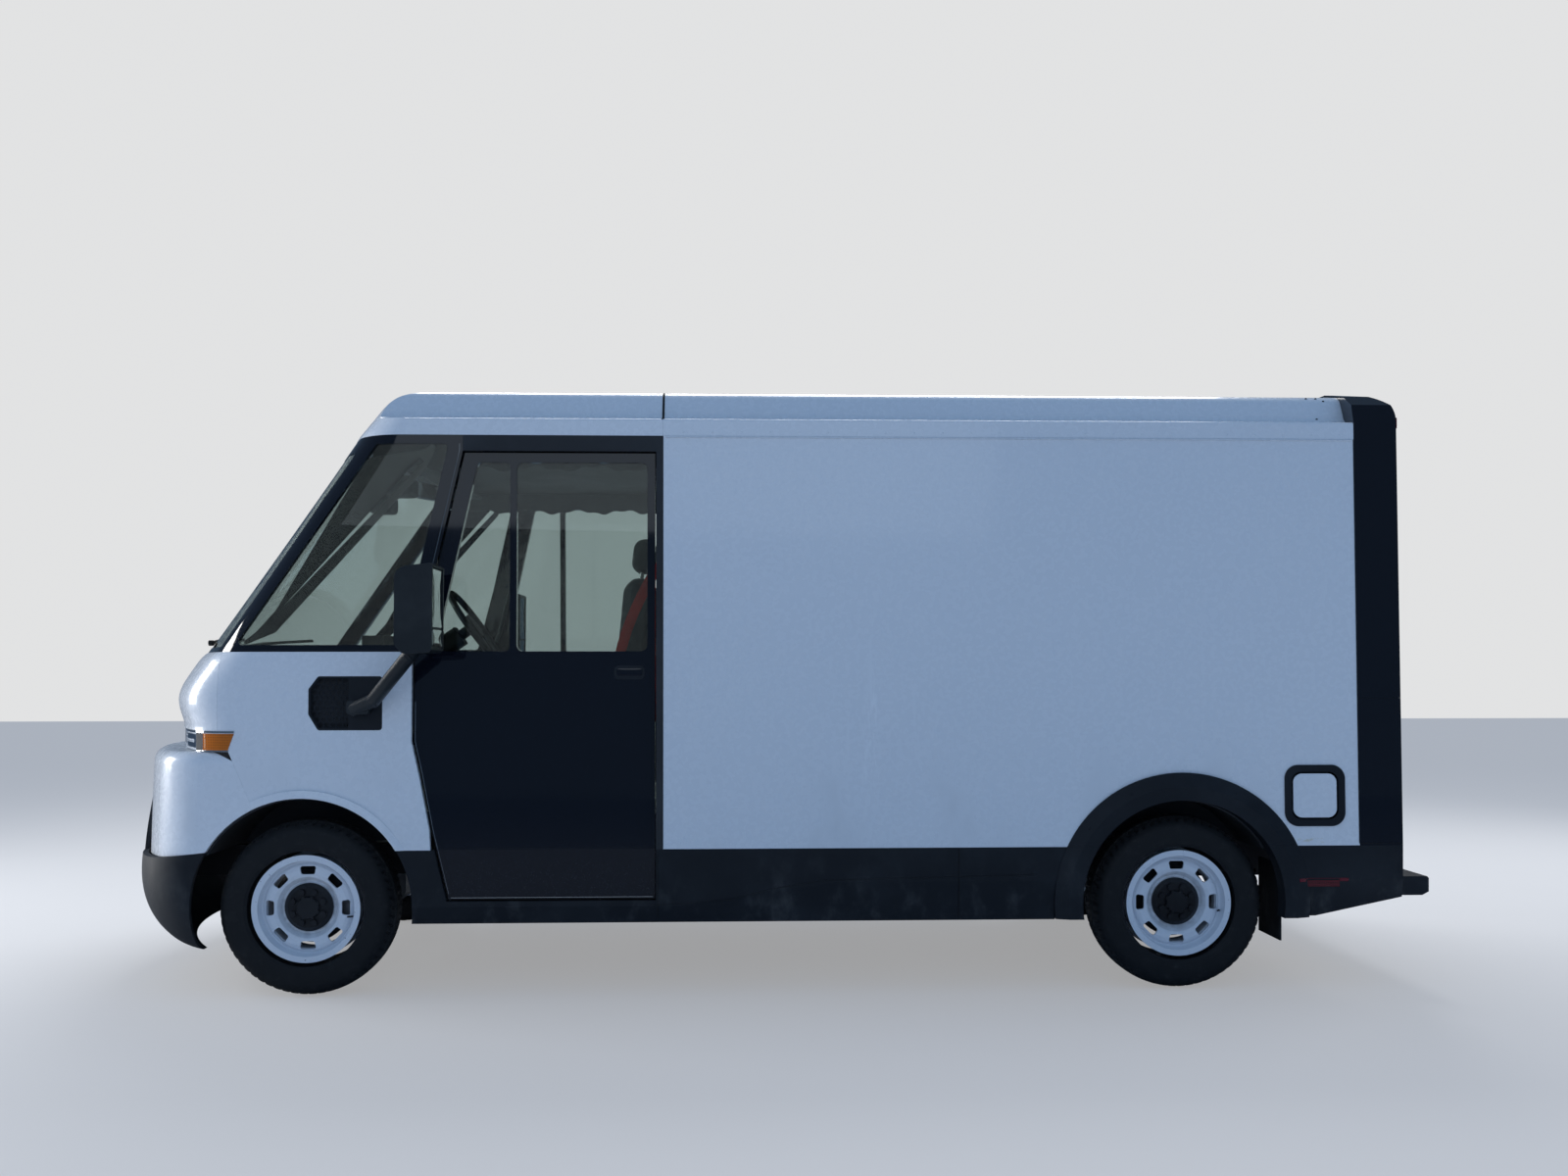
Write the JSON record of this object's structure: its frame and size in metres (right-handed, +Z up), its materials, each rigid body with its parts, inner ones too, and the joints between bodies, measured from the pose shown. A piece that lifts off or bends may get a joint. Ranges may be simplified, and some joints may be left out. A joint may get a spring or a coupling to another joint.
{
  "type": "electric delivery van",
  "caption": "Boxy walk-in electric delivery van with a rounded nose, sliding cab doors, steel wheels and a tall load space behind a roll-up rear door.",
  "frame": {"origin": "on the ground below the middle of the bounding box", "axes": "+X towards the rear of the van, +Y towards the passenger's side (right when driving), +Z up"},
  "size_m": [5.9963, 2.77, 2.7559],
  "materials": {
    "white_paint": "gloss",
    "black_panel": "gloss",
    "dark_plastic": "matt grained",
    "glass": "clear, lightly tinted",
    "wheel_paint": "satin",
    "hub_cap": "semi-gloss",
    "tyre": "matt",
    "chassis_steel": "black coated",
    "machined_steel": "satin",
    "floor_alloy": "ribbed mill finish",
    "battery_case": "cast",
    "wall_board": "smooth",
    "shutter": "white coated",
    "lamp_clear": "clear",
    "lamp_red": "dark red lens",
    "cab_trim": "grained",
    "seat_fabric": "woven",
    "rubber": "matt"
  },
  "bodies": {
    "van": {"chassis_frame": "chassis_steel", "battery_pack": "battery_case", "drive_unit": "battery_case", "front_subframe": "chassis_steel", "rear_axle": "chassis_steel", "leaf_springs": "chassis_steel", "front_fascia": "white_paint", "lower_fascia": "white_paint", "front_bumper": "dark_plastic", "front_fenders": "white_paint", "wheel_liners": "cab_trim", "windshield": "glass", "windshield_surround": "black_panel", "quarter_windows": "glass", "door_frames": "cab_trim", "cab_roof": "white_paint", "cargo_roof": "white_paint", "cargo_side_panels": "white_paint", "cargo_liners": "wall_board", "floor": "floor_alloy", "bulkhead": "wall_board", "side_skirts": "dark_plastic", "rear_flares": "dark_plastic", "rear_skirts": "dark_plastic", "rear_frame": "black_panel", "roll_up_door": "shutter", "rear_lamps": "lamp_red", "rear_step": "dark_plastic", "mud_flaps": "rubber", "charge_port": "dark_plastic", "headlamps": "lamp_clear", "fender_vents": "dark_plastic", "mirrors": "dark_plastic", "dashboard": "cab_trim", "steering_column": "cab_trim", "seat_base": "cab_trim", "seat_cushion": "seat_fabric", "seat_back": "seat_fabric"},
    "knuckle_left": {"knuckle_left": "machined_steel"},
    "knuckle_right": {"knuckle_right": "machined_steel"},
    "tie_rod": {"tie_rod": "machined_steel"},
    "door_left": {"door_left": "black_panel", "door_windows_left": "glass"},
    "door_right": {"door_right": "black_panel", "door_windows_right": "glass"},
    "bulkhead_door": {"bulkhead_door": "wall_board"},
    "charge_lid": {"charge_lid": "white_paint"},
    "steering_wheel": {"steering_wheel": "cab_trim"},
    "wheel_front_left": {"tyre_front_left": "tyre", "wheel_front_left": "wheel_paint", "hub_front_left": "hub_cap"},
    "wheel_front_right": {"tyre_front_right": "tyre", "wheel_front_right": "wheel_paint", "hub_front_right": "hub_cap"},
    "wheel_rear_left": {"tyre_rear_left": "tyre", "wheel_rear_left": "wheel_paint", "hub_rear_left": "hub_cap"},
    "wheel_rear_right": {"tyre_rear_right": "tyre", "wheel_rear_right": "wheel_paint", "hub_rear_right": "hub_cap"}
  },
  "joints": [
    {"name": "steer_left", "type": "hinge", "parent": "van", "child": "knuckle_left", "pos_m": [-2.022, -0.83, 0.388], "axis": [0, 0, 1], "range_deg": [-35, 35]},
    {"name": "steer_right", "type": "hinge", "parent": "van", "child": "knuckle_right", "pos_m": [-2.022, 0.83, 0.388], "axis": [0, 0, 1], "range_deg": [-35, 35]},
    {"name": "tie_rod_slide", "type": "slide", "parent": "van", "child": "tie_rod", "axis": [0, 1, 0], "range_m": [-0.0575, 0.0575]},
    {"name": "steering_wheel_turn", "type": "hinge", "parent": "van", "child": "steering_wheel", "pos_m": [-1.382, -0.43, 1.65], "axis": [0.8192, 0, 0.5736], "range_deg": [-490, 490]},
    {"name": "spin_front_left", "type": "hinge", "parent": "knuckle_left", "child": "wheel_front_left", "pos_m": [-2.022, -0.89, 0.388], "axis": [0, 1, 0], "continuous": true},
    {"name": "spin_front_right", "type": "hinge", "parent": "knuckle_right", "child": "wheel_front_right", "pos_m": [-2.022, 0.89, 0.388], "axis": [0, 1, 0], "continuous": true},
    {"name": "spin_rear_left", "type": "hinge", "parent": "van", "child": "wheel_rear_left", "pos_m": [1.864, -0.89, 0.388], "axis": [0, 1, 0], "continuous": true},
    {"name": "spin_rear_right", "type": "hinge", "parent": "van", "child": "wheel_rear_right", "pos_m": [1.864, 0.89, 0.388], "axis": [0, 1, 0], "continuous": true},
    {"name": "door_left_slide", "type": "slide", "parent": "van", "child": "door_left", "axis": [1, 0, 0], "range_m": [0, 0.88]},
    {"name": "door_right_slide", "type": "slide", "parent": "van", "child": "door_right", "axis": [1, 0, 0], "range_m": [0, 0.88]},
    {"name": "bulkhead_door_slide", "type": "slide", "parent": "van", "child": "bulkhead_door", "axis": [0, 1, 0], "range_m": [0, 0.55]},
    {"name": "charge_lid_hinge", "type": "hinge", "parent": "van", "child": "charge_lid", "pos_m": [2.402, -1.03066, 0.874], "axis": [0, -0.0328, -0.9995], "range_deg": [0, 100]}
  ],
  "couplings": [
    {"joint": "steer_right", "follows": "steer_left", "ratio": 1},
    {"joint": "tie_rod_slide", "follows": "steer_left", "m_per_rad": -0.0939},
    {"joint": "steering_wheel_turn", "follows": "steer_left", "ratio": 14}
  ]
}
